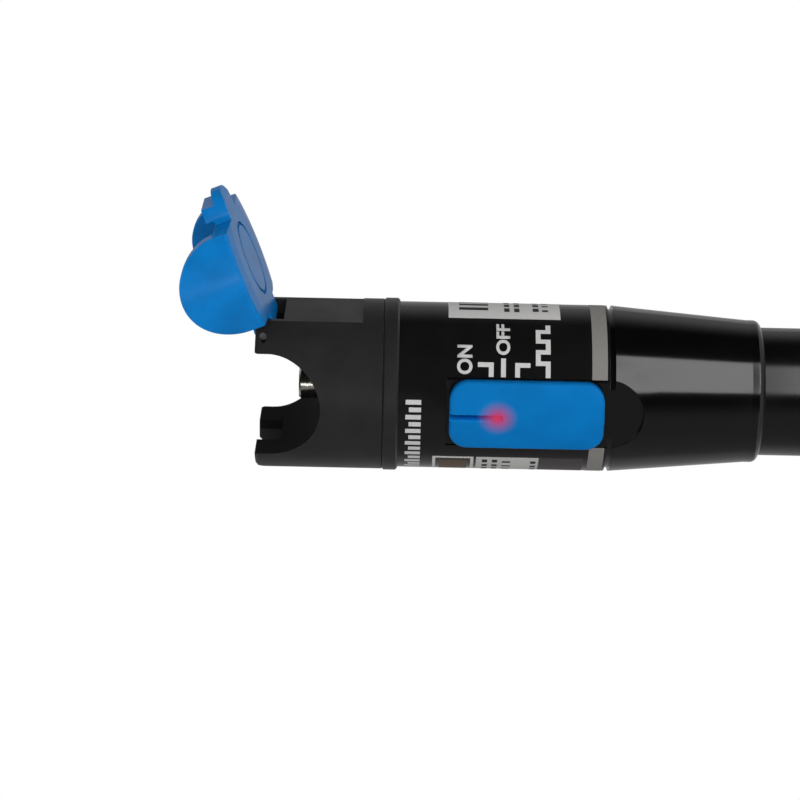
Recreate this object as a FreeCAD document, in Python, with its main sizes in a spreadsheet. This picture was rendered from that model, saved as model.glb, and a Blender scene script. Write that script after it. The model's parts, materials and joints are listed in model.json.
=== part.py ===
import FreeCAD, Part
import math
import os

import Sketcher

# Pen-shaped visual fault locator, in millimetres, standing on its tail cap.
# The axis is Z: the tail cap's face is at Z = 0 and the connector end looks along +Z.
# The dust cap's hinge is on the +X side of the head and the slide switch is on the -Y side.

SIZES = {
    # connector head
    "head_radius": 13.0,
    "head_length": 19.1,
    "head_edge": 0.4,
    "head_flat_inset": 1.3,
    "head_flat_length": 16.0,
    "slot_width": 16.0,
    "slot_straight": 1.9,
    "hinge_notch_width": 9.6,
    "hinge_notch_depth": 4.1,
    "tab_notch_width": 8.1,
    "tab_notch_depth": 3.7,
    "relief_width": 13.0,
    "relief_depth": 2.1,
    "relief_inset": 2.7,
    "skirt_depth": 3.6,
    "collar_length": 2.4,
    "collar_proud": 0.15,
    "collar_edge": 0.3,
    "seat_gap": 0.05,
    # dust cap and its hinge
    "pivot_inward": 0.6,
    "pivot_depth": 1.15,
    "pin_radius": 0.6,
    "pin_length": 15.6,
    "pin_clearance": 0.05,
    "knuckle_radius": 1.6,
    "arm_width": 9.2,
    "cap_clearance": 0.4,
    "cap_plate": 2.0,
    "cap_wall": 1.8,
    "cap_crown": 0.6,
    "cap_rim": 0.3,
    "cap_groove_radius": 5.2,
    "cap_groove_width": 0.6,
    "cap_groove_depth": 0.4,
    "cap_seal_radius": 4.0,
    "cap_seal_depth": 6.0,
    "tab_width": 7.6,
    "tab_thickness": 1.5,
    "tab_lug_offset": 0.2,
    "tab_lug_thickness": 2.1,
    "tab_overhang": 1.7,
    "tab_lug_depth": 3.2,
    "tab_corner": 3.6,
    "cap_open_angle": 158.0,
    # optical port
    "nose_radius": 2.5,
    "nose_setback": 6.3,
    "nose_edge": 0.3,
    "nose_lip_bore": 1.5,
    "nose_lip": 0.5,
    "flange_radius": 4.5,
    "flange_setback": 11.5,
    "flange_thickness": 2.0,
    "adapter_tail_radius": 3.5,
    "adapter_tail": 2.5,
    "sleeve_radius": 1.6,
    "ferrule_bore": 1.25,
    "sleeve_length": 8.7,
    # laser module
    "laser_radius": 6.0,
    "laser_length": 16.5,
    "laser_socket": 2.6,
    "beam_radius": 2.0,
    "beam_length": 1.9,
    "optic_radius": 3.0,
    "optic_gap": 0.05,
    "lens_thickness": 2.0,
    "lens_edge": 1.2,
    "diode_setback": 8.0,
    "diode_base": 1.2,
    "diode_can_radius": 2.35,
    "diode_can": 3.3,
    "diode_lead": 3.0,
    "lead_gap": 0.4,
    "diode_lead_radius": 0.25,
    "diode_lead_circle": 1.27,
    # barrel
    "label_core_radius": 12.5,
    "label_length": 31.4,
    "wrap_thickness": 0.15,
    "spigot_radius": 11.0,
    "spigot_length": 5.8,
    "bay_radius": 10.4,
    "groove_radius": 12.1,
    "groove_length": 0.8,
    "taper_front_radius": 12.65,
    "shoulder_step": 1.1,
    "taper_length": 20.6,
    "shoulder_length": 2.0,
    "shoulder_round": 1.0,
    "tube_radius": 9.75,
    "cell_bore": 7.6,
    # slide switch
    "pocket_floor": 11.45,
    "pocket_width": 10.8,
    "pocket_head_gap": 0.5,
    "pocket_tail_gap": 1.9,
    "slider_overlap": 7.2,
    "slider_length": 23.0,
    "slider_width": 10.4,
    "slider_corner": 2.8,
    "slider_lift": 0.1,
    "slider_crown_radius": 14.05,
    "slider_edge": 0.5,
    "slider_travel": 4.1,
    "slit_length": 8.0,
    "slit_width": 0.85,
    "stem_width": 2.5,
    "stem_length": 3.0,
    "stem_root": 1.5,
    "stem_socket": 0.8,
    "stem_gap": 0.2,
    "stem_setback": 15.3,
    # circuit board
    "board_top": 5.0,
    "board_thickness": 1.2,
    "board_width": 17.0,
    "board_length": 27.5,
    "board_gap": 1.0,
    "carrier_gap": 0.1,
    "wire_channel_width": 5.0,
    "wire_channel_depth": 4.0,
    "switch_width": 8.0,
    "switch_height": 4.5,
    "switch_length": 14.0,
    "chip_width": 5.0,
    "chip_height": 1.6,
    "chip_length": 4.5,
    "chip_gap": 0.6,
    "led_radius": 1.5,
    "led_flange": 0.3,
    "led_flange_height": 1.0,
    "led_height": 6.2,
    "led_gap": 0.2,
    "led_inset": 2.4,
    # battery column and tail
    "cell_radius": 7.25,
    "cell_length": 50.5,
    "cell_edge": 0.6,
    "nub_radius": 2.75,
    "nub_height": 1.0,
    "contact_reach": 1.5,
    "holder_thickness": 3.0,
    "contact_radius": 3.0,
    "contact_head_radius": 4.5,
    "contact_head": 0.6,
    "tail_cap_length": 12.0,
    "tail_edge": 0.8,
    "tail_floor": 2.5,
    "thread_radius": 8.6,
    "thread_length": 7.5,
    "thread_clearance": 0.1,
    "thread_runout": 0.5,
    "spigot_bore": 7.45,
    "ring_radius": 0.32,
    "ring_groove_width": 0.8,
    "ring_groove_radius": 8.0,
    "ring_setback": 0.4,
    "contact_disc_radius": 6.5,
    "contact_disc": 0.5,
    "spring_length": 5.0,
    "spring_radius": 4.2,
    "spring_wire": 0.4,
    "spring_pitch": 1.25,
}

# Z of what is stacked inside, from the tail cap's floor up to the head's front face.
CELL_STACK = "(sizes.tail_floor + sizes.spring_length)"
CELL_TOP = f"({CELL_STACK} + 2 * sizes.cell_length)"
BAY_END = f"({CELL_TOP} + sizes.contact_reach)"
HOLDER_FRONT = f"({BAY_END} + sizes.holder_thickness)"
BOARD_REAR = f"({HOLDER_FRONT} + sizes.contact_head + sizes.board_gap)"
BOARD_FRONT = f"({BOARD_REAR} + sizes.board_length)"
LEAD_END = f"({BOARD_FRONT} + sizes.lead_gap)"
DIODE_BASE_REAR = f"({LEAD_END} + sizes.diode_lead)"
DIODE_BASE_FRONT = f"({DIODE_BASE_REAR} + sizes.diode_base)"
LENS_FRONT = f"({DIODE_BASE_FRONT} + sizes.diode_can + sizes.diode_setback)"
SOCKET_FLOOR = f"({LENS_FRONT} + sizes.beam_length)"
FLANGE_REAR = f"({SOCKET_FLOOR} + sizes.laser_socket)"
FLANGE_FRONT = f"({FLANGE_REAR} + sizes.flange_thickness)"
FRONT = f"({FLANGE_FRONT} + sizes.flange_setback)"
LASER_REAR = f"({FLANGE_REAR} - sizes.laser_length)"
SLEEVE_FRONT = f"({FRONT} - sizes.nose_setback - sizes.nose_lip)"

# Z of each joint along the outside, from the head's front face down to the tail.
COLLAR_FRONT = f"({FRONT} - sizes.head_length)"
LABEL_FRONT = f"({COLLAR_FRONT} - sizes.collar_length)"
LABEL_END = f"({LABEL_FRONT} - sizes.label_length)"
TAPER_FRONT = f"({LABEL_END} - sizes.groove_length)"
TAPER_END = f"({TAPER_FRONT} - sizes.taper_length)"
SHOULDER = f"({TAPER_END} - sizes.shoulder_length)"
TUBE_END = "(sizes.tail_cap_length)"
SKIRT_FLOOR = f"({COLLAR_FRONT} + sizes.skirt_depth)"

# Z of the slide switch, which the lamp's place on the board sets.
LED_CENTRE = f"({BOARD_FRONT} - sizes.led_inset)"
SLIDER_FRONT = f"({LED_CENTRE} + sizes.slider_overlap)"
POCKET_FRONT = f"({SLIDER_FRONT} + sizes.pocket_head_gap)"
POCKET_REAR = f"({SLIDER_FRONT} - sizes.slider_length - sizes.slider_travel - sizes.pocket_tail_gap)"
STEM_FRONT = f"({SLIDER_FRONT} - sizes.stem_setback)"
STEM_REAR = f"({STEM_FRONT} - sizes.stem_length)"

# Radii that follow from a seat or a clearance.
SPIGOT_SEAT = "(sizes.spigot_radius + sizes.seat_gap)"
TAPER_REAR = "(sizes.tube_radius + sizes.shoulder_step)"
WRAP_RADIUS = "(sizes.label_core_radius + sizes.wrap_thickness)"
OPTIC_BORE = "(sizes.optic_radius + sizes.optic_gap)"
THREAD_SOCKET = "(sizes.thread_radius + sizes.thread_clearance)"
PIVOT_X = "((sizes.head_radius + sizes.slot_width / 2) / 2 - sizes.pivot_inward)"
CLEAR_OF_ALL = "(2 * sizes.head_radius)"

# How finely the coil spring's wire is faceted.
CHORDS_A_TURN = 16
WIRE_SIDES = 8


def make_sheet(doc):
    """Spreadsheet of the driving sizes, one named cell each."""
    sheet = doc.addObject("Spreadsheet::Sheet", "sizes")
    for row, (alias, number) in enumerate(SIZES.items(), start=1):
        sheet.set(f"A{row}", alias)
        sheet.set(f"B{row}", str(number))
        sheet.setAlias(f"B{row}", alias)
    doc.recompute()
    return sheet


doc = FreeCAD.newDocument("fault_locator")
sheet = make_sheet(doc)
nodes = []


def number(expression):
    """Present value of an expression in the sheet's names."""
    return float(sheet.evalExpression(expression))


def bind(target, **expressions):
    """Ties properties to expressions; a double underscore in a name stands for a dot."""
    for prop, expression in expressions.items():
        target.setExpression(prop.replace("__", "."), expression)


def add_node(target, label):
    """Marks a document object as a finished sub-part under its node name."""
    target.Label = label
    nodes.append(target)
    return target


def new_body(label):
    """Empty PartDesign body that is one sub-part."""
    return add_node(doc.addObject("PartDesign::Body", label), label)


def new_sketch(body, name, plane, offset=None):
    """Sketch on one of the body's origin planes, moved along the plane's normal by an expression."""
    sketch = body.newObject("Sketcher::SketchObject", name)
    origin_plane = next(item for item in body.Origin.OriginFeatures if item.Role == plane)
    sketch.AttachmentSupport = [(origin_plane, "")]
    sketch.MapMode = "FlatFace"
    if offset:
        bind(sketch, AttachmentOffset__Base__z=offset)
    return sketch


def pin_point(sketch, geometry, vertex, place):
    """Fixes a sketch point at a pair of expressions measured from the sketch's origin."""
    for kind, expression in zip(("DistanceX", "DistanceY"), place):
        index = sketch.addConstraint(
            Sketcher.Constraint(kind, -1, 1, geometry, vertex, number(expression))
        )
        sketch.setExpression(f"Constraints[{index}]", expression)


def as_vector(place):
    """Sketch vector at a pair of expressions."""
    return FreeCAD.Vector(number(place[0]), number(place[1]), 0)


def add_polygon(sketch, corners):
    """Closed outline of straight lines through corners given as pairs of expressions."""
    first = sketch.GeometryCount
    count = len(corners)
    for start, end in zip(corners, corners[1:] + corners[:1]):
        sketch.addGeometry(Part.LineSegment(as_vector(start), as_vector(end)))
    for step in range(count):
        following = first + (step + 1) % count
        sketch.addConstraint(Sketcher.Constraint("Coincident", first + step, 2, following, 1))
    for step, corner in enumerate(corners):
        pin_point(sketch, first + step, 1, corner)


def add_rectangle(sketch, low, high):
    """Rectangle between two opposite corners."""
    add_polygon(sketch, [low, (high[0], low[1]), high, (low[0], high[1])])


def add_circle(sketch, centre, radius):
    """Circle with its centre and radius bound to expressions."""
    circle = Part.Circle(as_vector(centre), FreeCAD.Vector(0, 0, 1), number(radius))
    index = sketch.addGeometry(circle)
    pin_point(sketch, index, 3, centre)
    radius_index = sketch.addConstraint(Sketcher.Constraint("Radius", index, number(radius)))
    sketch.setExpression(f"Constraints[{radius_index}]", radius)


def add_u_outline(sketch, half_width, mouth, bend):
    """U about the sketch's vertical axis: straight from the mouth to the bend, then half round."""
    first = sketch.GeometryCount
    left, right = f"-({half_width})", half_width
    places = [(left, bend), (left, mouth), (right, mouth), (right, bend)]
    for start, end in zip(places, places[1:]):
        sketch.addGeometry(Part.LineSegment(as_vector(start), as_vector(end)))
    centre = FreeCAD.Vector(0, number(bend), 0)
    circle = Part.Circle(centre, FreeCAD.Vector(0, 0, 1), number(half_width))
    half_turn = FreeCAD.Units.Quantity("180 deg").getValueAs("rad").Value
    arc = sketch.addGeometry(Part.ArcOfCircle(circle, -half_turn, 0))
    for step in range(2):
        sketch.addConstraint(Sketcher.Constraint("Coincident", first + step, 2, first + step + 1, 1))
    sketch.addConstraint(Sketcher.Constraint("Coincident", first + 2, 2, arc, 2))
    sketch.addConstraint(Sketcher.Constraint("Coincident", first, 1, arc, 1))
    for step in range(3):
        pin_point(sketch, first + step, 1, places[step])
    pin_point(sketch, first + 2, 2, places[3])
    index = sketch.addConstraint(Sketcher.Constraint("DistanceY", -1, 1, arc, 3, number(bend)))
    sketch.setExpression(f"Constraints[{index}]", bend)


def revolve(body, name, corners):
    """Turns a closed outline of (radius, Z) corners about the body's Z axis."""
    sketch = new_sketch(body, f"{name}_profile", "XZ_Plane")
    add_polygon(sketch, corners)
    turned = body.newObject("PartDesign::Revolution", name)
    turned.Profile = sketch
    turned.ReferenceAxis = (sketch, ["V_Axis"])
    turned.Angle = 360
    return turned


def pad(body, name, sketch, length, symmetric=False, reverse=False):
    """Raises a sketch into material of a bound length."""
    raised = body.newObject("PartDesign::Pad", name)
    raised.Profile = sketch
    raised.SideType = "Symmetric" if symmetric else "One side"
    raised.Reversed = reverse
    bind(raised, Length=length)
    return raised


def pocket(body, name, sketch, length, symmetric=False, reverse=False):
    """Cuts a sketch out of the body to a bound depth."""
    cut = body.newObject("PartDesign::Pocket", name)
    cut.Profile = sketch
    cut.SideType = "Symmetric" if symmetric else "One side"
    cut.Reversed = reverse
    bind(cut, Length=length)
    return cut


def cross_pocket(body, name, low, high, width):
    """Rectangular cut between two (X, Z) corners, centred on Y."""
    sketch = new_sketch(body, f"{name}_outline", "XZ_Plane")
    add_rectangle(sketch, low, high)
    return pocket(body, name, sketch, width, symmetric=True)


def fillet_edges(body, name, base, radius, wanted):
    """Rounds the edges of the base feature that the test accepts."""
    doc.recompute()
    names = [f"Edge{i}" for i, edge in enumerate(base.Shape.Edges, start=1) if wanted(edge)]
    rounded = body.newObject("PartDesign::Fillet", name)
    rounded.Base = (base, names)
    bind(rounded, Radius=radius)
    return rounded


def box_node(label, width, depth, height, low):
    """Plain block with its low corner at a triple of expressions."""
    block = doc.addObject("Part::Box", label)
    bind(block, Length=width, Width=depth, Height=height)
    for axis, expression in zip("xyz", low):
        block.setExpression(f"Placement.Base.{axis}", expression)
    return block


def make_head_shell():
    """Moulded head: a round plug with a U-shaped slot right through it for the connector."""
    body = new_body("head_shell")
    seat_hole = "(sizes.nose_radius + sizes.seat_gap)"
    flange_seat = "(sizes.flange_radius + sizes.seat_gap)"
    laser_seat = "(sizes.laser_radius + sizes.seat_gap)"
    revolve(body, "shell_turned", [
        (seat_hole, FRONT),
        ("sizes.head_radius - sizes.head_edge", FRONT),
        ("sizes.head_radius", f"{FRONT} - sizes.head_edge"),
        ("sizes.head_radius", COLLAR_FRONT),
        (SPIGOT_SEAT, COLLAR_FRONT),
        (SPIGOT_SEAT, SKIRT_FLOOR),
        (laser_seat, SKIRT_FLOOR),
        (laser_seat, FLANGE_REAR),
        (flange_seat, FLANGE_REAR),
        (flange_seat, FLANGE_FRONT),
        (seat_hole, FLANGE_FRONT),
    ])
    slot = new_sketch(body, "slot_outline", "XZ_Plane")
    add_u_outline(slot, "sizes.slot_width / 2", f"{FRONT} + sizes.head_edge",
                  f"{FRONT} - sizes.slot_straight")
    pocket(body, "slot", slot, CLEAR_OF_ALL, symmetric=True)
    above = f"{FRONT} + sizes.head_edge"
    cross_pocket(body, "top_flat", ("sizes.head_radius - sizes.head_flat_inset", above),
                 (CLEAR_OF_ALL, f"{FRONT} - sizes.head_flat_length"), CLEAR_OF_ALL)
    inside_slot = "sizes.slot_width / 2 - sizes.cap_clearance"
    cross_pocket(body, "hinge_notch", (inside_slot, above),
                 (CLEAR_OF_ALL, f"{FRONT} - sizes.hinge_notch_depth"), "sizes.hinge_notch_width")
    cross_pocket(body, "tab_notch", (f"-({inside_slot})", above),
                 (f"-{CLEAR_OF_ALL}", f"{FRONT} - sizes.tab_notch_depth"), "sizes.tab_notch_width")
    relief = new_sketch(body, "thumb_relief_outline", "XZ_Plane")
    add_polygon(relief, [
        ("-sizes.head_radius + sizes.relief_inset", above),
        (f"-{CLEAR_OF_ALL}", above),
        (f"-{CLEAR_OF_ALL}", f"{FRONT} - sizes.relief_depth"),
        ("-sizes.head_radius", f"{FRONT} - sizes.relief_depth"),
    ])
    pocket(body, "thumb_relief", relief, "sizes.relief_width", symmetric=True)
    pin_hole = new_sketch(body, "pin_hole_outline", "XZ_Plane")
    add_circle(pin_hole, (PIVOT_X, f"{FRONT} - sizes.pivot_depth"), "sizes.pin_radius")
    pocket(body, "pin_hole", pin_hole, CLEAR_OF_ALL, symmetric=True)


def make_head_collar():
    """Turned ring between the head and the barrel, slightly proud of both."""
    body = new_body("head_collar")
    outer = "(sizes.head_radius + sizes.collar_proud)"
    revolve(body, "collar_turned", [
        (SPIGOT_SEAT, LABEL_FRONT),
        (f"{outer} - sizes.collar_edge", LABEL_FRONT),
        (outer, f"{LABEL_FRONT} + sizes.collar_edge"),
        (outer, f"{COLLAR_FRONT} - sizes.collar_edge"),
        (f"{outer} - sizes.collar_edge", COLLAR_FRONT),
        (SPIGOT_SEAT, COLLAR_FRONT),
    ])


def make_hinge_pin():
    """Steel pin held in the head's two ears."""
    pin = doc.addObject("Part::Cylinder", "hinge_pin")
    bind(pin, Radius="sizes.pin_radius", Height="sizes.pin_length")
    pin.Placement = FreeCAD.Placement(
        FreeCAD.Vector(0, 0, 0), FreeCAD.Rotation(FreeCAD.Vector(1, 0, 0), 90)
    )
    bind(pin, Placement__Base__x=PIVOT_X, Placement__Base__y="sizes.pin_length / 2",
         Placement__Base__z=f"{FRONT} - sizes.pivot_depth")
    add_node(pin, "hinge_pin")


def make_dust_cap():
    """Moulded cap that fills the slot when shut, modelled shut and then swung open."""
    body = new_body("dust_cap")
    half_width = "(sizes.slot_width / 2 - sizes.cap_clearance)"
    skirt_radius = "(sizes.head_radius - sizes.cap_wall)"
    bend = f"({FRONT} - sizes.slot_straight)"
    plate_back = f"({FRONT} - sizes.cap_plate)"
    skirt_end = f"({bend} - sizes.slot_width / 2)"
    crown = f"({FRONT} + sizes.cap_crown)"
    groove_floor = f"({crown} - sizes.cap_groove_depth)"
    revolve(body, "cap_turned", [
        ("0", crown),
        ("sizes.cap_groove_radius", crown),
        ("sizes.cap_groove_radius", groove_floor),
        ("sizes.cap_groove_radius + sizes.cap_groove_width", groove_floor),
        ("sizes.cap_groove_radius + sizes.cap_groove_width", crown),
        (PIVOT_X, crown),
        ("sizes.head_radius - sizes.cap_rim", f"{FRONT} + sizes.cap_rim"),
        ("sizes.head_radius", FRONT),
        ("sizes.head_radius", skirt_end),
        (skirt_radius, skirt_end),
        (skirt_radius, plate_back),
        ("sizes.cap_seal_radius", plate_back),
        ("sizes.cap_seal_radius", f"{FRONT} - sizes.cap_seal_depth"),
        ("0", f"{FRONT} - sizes.cap_seal_depth"),
    ])
    outside = new_sketch(body, "outside_u", "XZ_Plane")
    add_rectangle(outside, (f"-{CLEAR_OF_ALL}", f"{skirt_end} - sizes.head_radius"),
                  (CLEAR_OF_ALL, f"{crown} + 2 * sizes.cap_rim"))
    add_u_outline(outside, half_width, f"{crown} + sizes.cap_rim", bend)
    pocket(body, "slot_fit", outside, CLEAR_OF_ALL, symmetric=True)
    arm = new_sketch(body, "arm_outline", "XZ_Plane")
    add_rectangle(arm, (f"{half_width} - sizes.cap_rim", plate_back), (PIVOT_X, crown))
    pad(body, "arm", arm, "sizes.arm_width", symmetric=True)
    knuckle = new_sketch(body, "knuckle_outline", "XZ_Plane")
    pivot = (PIVOT_X, f"{FRONT} - sizes.pivot_depth")
    add_circle(knuckle, pivot, "sizes.knuckle_radius")
    pad(body, "knuckle", knuckle, "sizes.arm_width", symmetric=True)
    tab = new_sketch(body, "tab_outline", "XZ_Plane")
    tab_back = f"({FRONT} + sizes.cap_rim - sizes.tab_thickness)"
    lug_inner = "(-sizes.slot_width / 2 - sizes.tab_lug_offset)"
    lug_outer = f"({lug_inner} - sizes.tab_lug_thickness)"
    tab_tip = f"({lug_outer} - sizes.tab_overhang)"
    add_polygon(tab, [
        (f"-{half_width} + sizes.cap_rim", crown),
        (lug_outer, crown),
        (tab_tip, f"{FRONT} + sizes.cap_rim"),
        (tab_tip, tab_back),
        (lug_outer, tab_back),
        (lug_outer, f"{FRONT} - sizes.tab_lug_depth"),
        (lug_inner, f"{FRONT} - sizes.tab_lug_depth"),
        (lug_inner, plate_back),
        (f"-{half_width} + sizes.cap_rim", plate_back),
    ])
    finger_tab = pad(body, "finger_tab", tab, "sizes.tab_width", symmetric=True)
    tip = number(tab_tip)

    def is_tab_corner(edge):
        box = edge.BoundBox
        return abs(box.XMin - tip) < 1e-4 and box.XLength < 1e-4 and box.YLength < 1e-4

    fillet_edges(body, "tab_corners", finger_tab, "sizes.tab_corner", is_tab_corner)
    bore = new_sketch(body, "knuckle_bore_outline", "XZ_Plane")
    add_circle(bore, pivot, "sizes.pin_radius + sizes.pin_clearance")
    pocket(body, "knuckle_bore", bore, CLEAR_OF_ALL, symmetric=True)
    swing = "(sizes.cap_open_angle * 1 deg)"
    body.Placement = FreeCAD.Placement(
        FreeCAD.Vector(0, 0, 0), FreeCAD.Rotation(FreeCAD.Vector(0, 1, 0), 90)
    )
    bind(body, Placement__Rotation__Angle=swing,
         Placement__Base__x=f"({pivot[0]}) * (1 - cos({swing})) - ({pivot[1]}) * sin({swing})",
         Placement__Base__z=f"({pivot[1]}) * (1 - cos({swing})) + ({pivot[0]}) * sin({swing})")


def make_adapter_barrel():
    """Plated adapter whose nose stands in the slot and takes the connector's ferrule."""
    body = new_body("adapter_barrel")
    nose_front = f"({FRONT} - sizes.nose_setback)"
    tail_end = f"({FLANGE_REAR} - sizes.adapter_tail)"
    revolve(body, "adapter_turned", [
        ("sizes.nose_lip_bore", nose_front),
        ("sizes.nose_radius - sizes.nose_edge", nose_front),
        ("sizes.nose_radius", f"{nose_front} - sizes.nose_edge"),
        ("sizes.nose_radius", FLANGE_FRONT),
        ("sizes.flange_radius", FLANGE_FRONT),
        ("sizes.flange_radius", FLANGE_REAR),
        ("sizes.adapter_tail_radius", FLANGE_REAR),
        ("sizes.adapter_tail_radius", tail_end),
        ("sizes.sleeve_radius", tail_end),
        ("sizes.sleeve_radius", SLEEVE_FRONT),
        ("sizes.nose_lip_bore", SLEEVE_FRONT),
    ])


def make_ferrule_sleeve():
    """Ceramic sleeve inside the adapter that centres the ferrule."""
    body = new_body("ferrule_sleeve")
    sleeve_rear = f"({SLEEVE_FRONT} - sizes.sleeve_length)"
    revolve(body, "sleeve_turned", [
        ("sizes.ferrule_bore", SLEEVE_FRONT),
        ("sizes.sleeve_radius", SLEEVE_FRONT),
        ("sizes.sleeve_radius", sleeve_rear),
        ("sizes.ferrule_bore", sleeve_rear),
    ])


def make_laser_module():
    """Brass housing behind the adapter with its lens and its laser diode."""
    housing = new_body("laser_housing")
    socket = "(sizes.adapter_tail_radius + sizes.seat_gap)"
    revolve(housing, "housing_turned", [
        (socket, FLANGE_REAR),
        ("sizes.laser_radius", FLANGE_REAR),
        ("sizes.laser_radius", LASER_REAR),
        (OPTIC_BORE, LASER_REAR),
        (OPTIC_BORE, LENS_FRONT),
        ("sizes.beam_radius", LENS_FRONT),
        ("sizes.beam_radius", SOCKET_FLOOR),
        (socket, SOCKET_FLOOR),
    ])
    lens = new_body("focusing_lens")
    lens_rear = f"({LENS_FRONT} - sizes.lens_thickness)"
    edge_rear = f"({LENS_FRONT} - sizes.lens_edge)"
    revolve(lens, "lens_turned", [
        ("0", LENS_FRONT),
        ("sizes.optic_radius", LENS_FRONT),
        ("sizes.optic_radius", edge_rear),
        ("sizes.optic_radius * 0.6", f"{edge_rear} * 0.3 + {lens_rear} * 0.7"),
        ("0", lens_rear),
    ])
    diode = new_body("laser_diode")
    can_front = f"({DIODE_BASE_FRONT} + sizes.diode_can)"
    revolve(diode, "diode_turned", [
        ("0", can_front),
        ("sizes.diode_can_radius", can_front),
        ("sizes.diode_can_radius", DIODE_BASE_FRONT),
        ("sizes.optic_radius", DIODE_BASE_FRONT),
        ("sizes.optic_radius", DIODE_BASE_REAR),
        ("0", DIODE_BASE_REAR),
    ])
    lead = new_sketch(diode, "lead_outline", "XY_Plane", DIODE_BASE_REAR)
    add_circle(lead, ("sizes.diode_lead_circle", "0"), "sizes.diode_lead_radius")
    first_lead = pad(diode, "lead", lead, "sizes.diode_lead", reverse=True)
    leads = diode.newObject("PartDesign::PolarPattern", "leads")
    leads.Originals = [first_lead]
    leads.Axis = (lead, ["N_Axis"])
    leads.Angle = 360
    leads.Occurrences = 3
    diode.Tip = leads


def make_main_barrel():
    """One turned aluminium tube: head spigot, label seat, taper and the tube for the cells."""
    body = new_body("main_barrel")
    spigot_front = f"({LABEL_FRONT} + sizes.spigot_length)"
    socket_floor = f"({TUBE_END} + sizes.thread_length + sizes.thread_runout)"
    turned = revolve(body, "barrel_turned", [
        ("sizes.bay_radius", spigot_front),
        ("sizes.spigot_radius", spigot_front),
        ("sizes.spigot_radius", LABEL_FRONT),
        ("sizes.label_core_radius", LABEL_FRONT),
        ("sizes.label_core_radius", LABEL_END),
        ("sizes.groove_radius", LABEL_END),
        ("sizes.groove_radius", TAPER_FRONT),
        ("sizes.taper_front_radius", TAPER_FRONT),
        (TAPER_REAR, TAPER_END),
        (TAPER_REAR, SHOULDER),
        ("sizes.tube_radius", SHOULDER),
        ("sizes.tube_radius", TUBE_END),
        (THREAD_SOCKET, TUBE_END),
        (THREAD_SOCKET, socket_floor),
        ("sizes.cell_bore", socket_floor),
        ("sizes.cell_bore", BAY_END),
        ("sizes.bay_radius", BAY_END),
    ])
    shoulder = number(SHOULDER)
    rim = number(TAPER_REAR)

    def is_shoulder_rim(edge):
        box = edge.BoundBox
        return abs(box.ZMax - shoulder) < 1e-4 and box.ZLength < 1e-4 and abs(box.XMax - rim) < 1e-3

    fillet_edges(body, "shoulder_rounded", turned, "sizes.shoulder_round", is_shoulder_rim)
    slide_bed = new_sketch(body, "slide_bed_outline", "XZ_Plane", "sizes.pocket_floor")
    half_width = "sizes.pocket_width / 2"
    add_u_outline(slide_bed, half_width, POCKET_FRONT, f"{POCKET_REAR} + {half_width}")
    pocket(body, "slide_bed", slide_bed, "sizes.head_radius", reverse=True)
    windows = new_sketch(body, "window_outline", "XZ_Plane", "sizes.pocket_floor")
    add_circle(windows, ("0", LED_CENTRE), "sizes.led_radius + sizes.led_gap")
    stem_half = "(sizes.stem_width / 2 + sizes.stem_gap)"
    add_rectangle(windows, (f"-{stem_half}", f"{STEM_REAR} - sizes.slider_travel - sizes.stem_gap"),
                  (stem_half, f"{STEM_FRONT} + sizes.stem_gap"))
    pocket(body, "windows", windows, "sizes.pocket_floor / 2")


def make_wrap_label():
    """Printed film wrapped round the barrel, cut out round the slide switch."""
    body = new_body("wrap_label")
    revolve(body, "wrap_turned", [
        ("sizes.label_core_radius", LABEL_END),
        (WRAP_RADIUS, LABEL_END),
        (WRAP_RADIUS, LABEL_FRONT),
        ("sizes.label_core_radius", LABEL_FRONT),
    ])
    cut_out = new_sketch(body, "cut_out_outline", "XZ_Plane")
    half_width = "(sizes.pocket_width / 2)"
    add_rectangle(cut_out, (f"-{half_width}", f"{LABEL_END} - sizes.pocket_head_gap"),
                  (half_width, POCKET_FRONT))
    pocket(body, "cut_out", cut_out, CLEAR_OF_ALL, reverse=True)


def make_switch_slider():
    """Blue slide button with a crowned top, a light slit and a socket for the switch's stem."""
    body = new_body("switch_slider")
    underside = "(sizes.pocket_floor + sizes.slider_lift)"
    slider_rear = f"({SLIDER_FRONT} - sizes.slider_length)"
    plan = new_sketch(body, "slider_plan", "XZ_Plane", underside)
    half_width = "(sizes.slider_width / 2)"
    add_rectangle(plan, (f"-{half_width}", slider_rear), (half_width, SLIDER_FRONT))
    block = pad(body, "slider_block", plan, "sizes.head_radius / 4")
    fillet_edges(body, "slider_corners", block, "sizes.slider_corner",
                 lambda edge: edge.BoundBox.XLength < 1e-4 and edge.BoundBox.ZLength < 1e-4)
    crown = new_sketch(body, "crown_outline", "XY_Plane")
    add_rectangle(crown, (f"-{CLEAR_OF_ALL}", f"-{CLEAR_OF_ALL}"), (CLEAR_OF_ALL, CLEAR_OF_ALL))
    add_circle(crown, ("0", "0"), "sizes.slider_crown_radius")
    crowned = pocket(body, "slider_crown", crown, f"{FRONT} * 2", symmetric=True)
    sole = -number(underside)

    def is_top_edge(edge):
        box = edge.BoundBox
        upright = box.XLength < 1e-4 and box.ZLength < 1e-4
        return box.YMax < sole - 1e-3 and not upright

    fillet_edges(body, "slider_edges", crowned, "sizes.slider_edge", is_top_edge)
    slit = new_sketch(body, "slit_outline", "XZ_Plane")
    half_slit = "(sizes.slit_width / 2)"
    add_rectangle(slit, (f"-{half_slit}", f"{SLIDER_FRONT} - sizes.slit_length"),
                  (half_slit, f"{SLIDER_FRONT} + sizes.slider_edge"))
    pocket(body, "slit", slit, CLEAR_OF_ALL, reverse=True)
    socket = new_sketch(body, "stem_socket_outline", "XZ_Plane", underside)
    half_stem = "(sizes.stem_width / 2)"
    add_rectangle(socket, (f"-{half_stem}", STEM_REAR), (half_stem, STEM_FRONT))
    pocket(body, "stem_socket", socket, "sizes.stem_socket", reverse=True)


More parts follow.
